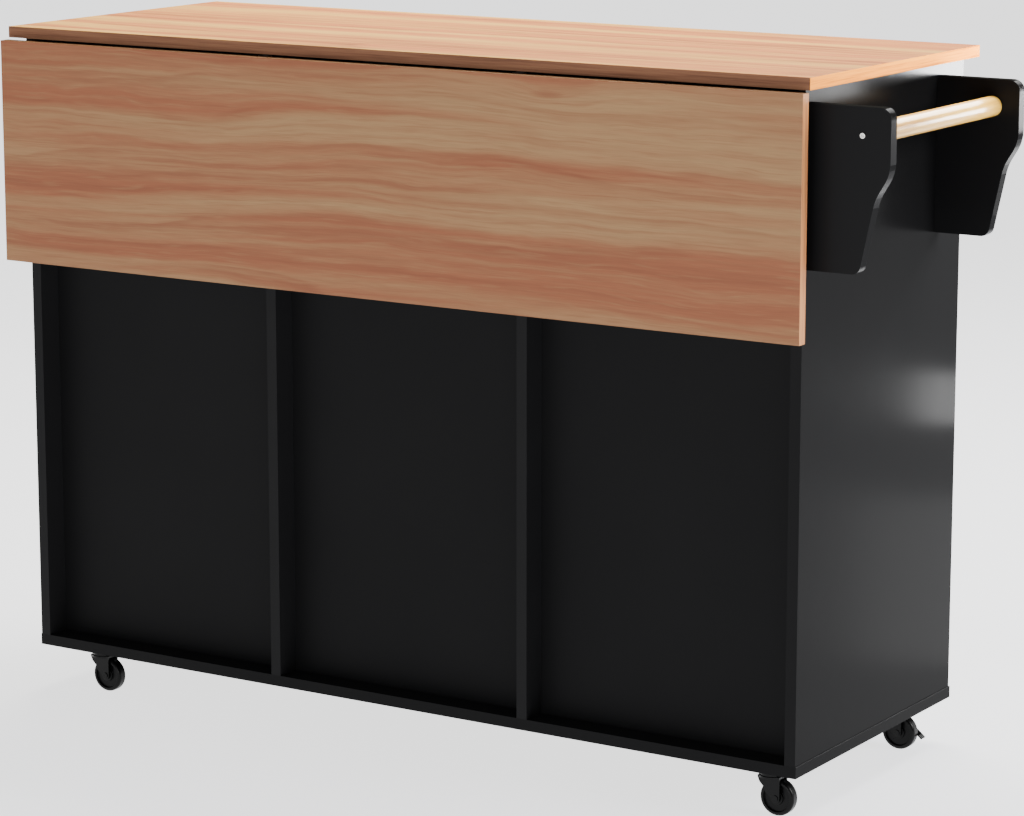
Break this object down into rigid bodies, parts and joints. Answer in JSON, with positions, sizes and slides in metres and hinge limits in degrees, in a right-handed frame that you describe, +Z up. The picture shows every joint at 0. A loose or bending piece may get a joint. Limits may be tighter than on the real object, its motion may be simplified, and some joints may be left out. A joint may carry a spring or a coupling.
{
  "type": "dining table with storage",
  "caption": "Rolling storage table with a drop leaf along one long side, cupboards with doors, a stack of drawers, a side towel rail, and swivel casters.",
  "frame": {"origin": "on the floor, under the middle of the box around the whole table", "axes": "+X along the worktop, towards the towel rail; +Y from the drop leaf towards the doors and drawers; +Z up"},
  "size_m": [1.318, 0.4926, 0.925],
  "materials": {
    "oak_board": "laminated wood-grain board, satin",
    "black_board": "black laminated board, semi-gloss",
    "black_hardboard": "thin black board, matt",
    "drawer_board": "white laminated board",
    "pine": "turned light wood, clear varnish",
    "beech": "plain, fluted dowel",
    "nickel": "nickel plated steel",
    "zinc": "zinc plated steel",
    "black_steel": "black enamelled steel",
    "white_plastic": "moulded plastic",
    "caster_steel": "black painted pressed steel",
    "caster_plastic": "black moulded plastic",
    "caster_rubber": "solid rubber tyre on a hub of one piece"
  },
  "bodies": {
    "cabinet": {"worktop": "oak_board", "bottom_panel": "black_board", "left_side": "black_board", "right_side": "black_board", "left_divider": "black_board", "right_divider": "black_board", "back_panels": "black_hardboard", "shelves": "black_board", "shelf_pins": "nickel", "panel_dowels": "beech", "cam_fittings": "zinc", "bottom_screws": "zinc", "towel_bracket_back": "black_board", "towel_bracket_front": "black_board", "towel_rail": "pine", "towel_screws": "nickel", "leaf_hinge_plates": "black_steel", "hinge_pins": "black_steel", "support_wall_legs": "zinc", "cabinet_runners": "zinc", "door_hinge_plates": "nickel", "door_catches": "white_plastic", "caster_plates": "zinc", "wood_screws": "zinc"},
    "drop_leaf": {"leaf_panel": "oak_board", "leaf_hinge_leaves": "black_steel", "support_arms": "zinc", "leaf_screws": "zinc"},
    "left_support_strut": {"left_strut": "zinc"},
    "right_support_strut": {"right_strut": "zinc"},
    "left_door": {"left_door_panel": "black_board", "left_door_metalwork": "nickel", "left_door_knob": "nickel"},
    "right_door": {"right_door_panel": "black_board", "right_door_metalwork": "nickel", "right_door_knob": "nickel"},
    "drawer_1": {"drawer_1_front": "black_board", "drawer_1_box": "drawer_board", "drawer_1_runners": "zinc", "drawer_1_knob": "nickel"},
    "drawer_2": {"drawer_2_front": "black_board", "drawer_2_box": "drawer_board", "drawer_2_runners": "zinc", "drawer_2_knob": "nickel"},
    "drawer_3": {"drawer_3_front": "black_board", "drawer_3_box": "drawer_board", "drawer_3_runners": "zinc", "drawer_3_knob": "nickel"},
    "back_left_swivel": {"back_left_fork": "caster_steel"},
    "back_left_roller": {"back_left_wheel": "caster_rubber"},
    "back_right_swivel": {"back_right_fork": "caster_steel"},
    "back_right_roller": {"back_right_wheel": "caster_rubber"},
    "front_left_swivel": {"front_left_fork": "caster_steel"},
    "front_left_roller": {"front_left_wheel": "caster_rubber"},
    "front_left_lever": {"front_left_brake": "caster_plastic"},
    "front_right_swivel": {"front_right_fork": "caster_steel"},
    "front_right_roller": {"front_right_wheel": "caster_rubber"},
    "front_right_lever": {"front_right_brake": "caster_plastic"}
  },
  "joints": [
    {"name": "leaf_hinge", "type": "hinge", "parent": "cabinet", "child": "drop_leaf", "pos_m": [-0.049, -0.22925, 0.908], "axis": [-1, 0, 0], "range_deg": [0, 90]},
    {"name": "left_strut_pivot", "type": "hinge", "parent": "cabinet", "child": "left_support_strut", "pos_m": [-0.2395, -0.21665, 0.783], "axis": [-1, 0, 0], "range_deg": [0, 134.91]},
    {"name": "right_strut_pivot", "type": "hinge", "parent": "cabinet", "child": "right_support_strut", "pos_m": [0.1495, -0.21665, 0.783], "axis": [-1, 0, 0], "range_deg": [0, 134.91]},
    {"name": "left_door_hinge", "type": "hinge", "parent": "cabinet", "child": "left_door", "pos_m": [-0.62775, 0.22415, 0.4925], "axis": [0, 0, 1], "range_deg": [0, 170]},
    {"name": "right_door_hinge", "type": "hinge", "parent": "cabinet", "child": "right_door", "pos_m": [0.52975, 0.22415, 0.4925], "axis": [0, 0, -1], "range_deg": [0, 170]},
    {"name": "drawer_1_slide", "type": "slide", "parent": "cabinet", "child": "drawer_1", "axis": [0, 1, 0], "range_m": [0, 0.28]},
    {"name": "drawer_2_slide", "type": "slide", "parent": "cabinet", "child": "drawer_2", "axis": [0, 1, 0], "range_m": [0, 0.28]},
    {"name": "drawer_3_slide", "type": "slide", "parent": "cabinet", "child": "drawer_3", "axis": [0, 1, 0], "range_m": [0, 0.28]},
    {"name": "back_left_swivel_joint", "type": "hinge", "parent": "cabinet", "child": "back_left_swivel", "pos_m": [-0.559, -0.17975, 0.055], "axis": [0, 0, 1], "continuous": true},
    {"name": "back_left_axle_joint", "type": "hinge", "parent": "back_left_swivel", "child": "back_left_roller", "pos_m": [-0.549, -0.17975, 0.0235], "axis": [0, 1, 0], "continuous": true},
    {"name": "back_right_swivel_joint", "type": "hinge", "parent": "cabinet", "child": "back_right_swivel", "pos_m": [0.498, -0.17975, 0.055], "axis": [0, 0, 1], "continuous": true},
    {"name": "back_right_axle_joint", "type": "hinge", "parent": "back_right_swivel", "child": "back_right_roller", "pos_m": [0.508, -0.17975, 0.0235], "axis": [0, 1, 0], "continuous": true},
    {"name": "front_left_swivel_joint", "type": "hinge", "parent": "cabinet", "child": "front_left_swivel", "pos_m": [-0.559, 0.15825, 0.055], "axis": [0, 0, 1], "continuous": true},
    {"name": "front_left_axle_joint", "type": "hinge", "parent": "front_left_swivel", "child": "front_left_roller", "pos_m": [-0.549, 0.15825, 0.0235], "axis": [0, 1, 0], "continuous": true},
    {"name": "front_left_brake_joint", "type": "hinge", "parent": "front_left_swivel", "child": "front_left_lever", "pos_m": [-0.5465, 0.15825, 0.0345], "axis": [0, 1, 0], "range_deg": [0, 5.5]},
    {"name": "front_right_swivel_joint", "type": "hinge", "parent": "cabinet", "child": "front_right_swivel", "pos_m": [0.498, 0.15825, 0.055], "axis": [0, 0, 1], "continuous": true},
    {"name": "front_right_axle_joint", "type": "hinge", "parent": "front_right_swivel", "child": "front_right_roller", "pos_m": [0.508, 0.15825, 0.0235], "axis": [0, 1, 0], "continuous": true},
    {"name": "front_right_brake_joint", "type": "hinge", "parent": "front_right_swivel", "child": "front_right_lever", "pos_m": [0.5105, 0.15825, 0.0345], "axis": [0, 1, 0], "range_deg": [0, 5.5]}
  ],
  "couplings": [
    {"joint": "left_strut_pivot", "follows": "leaf_hinge", "ratio": 1.4989},
    {"joint": "right_strut_pivot", "follows": "leaf_hinge", "ratio": 1.4989}
  ]
}
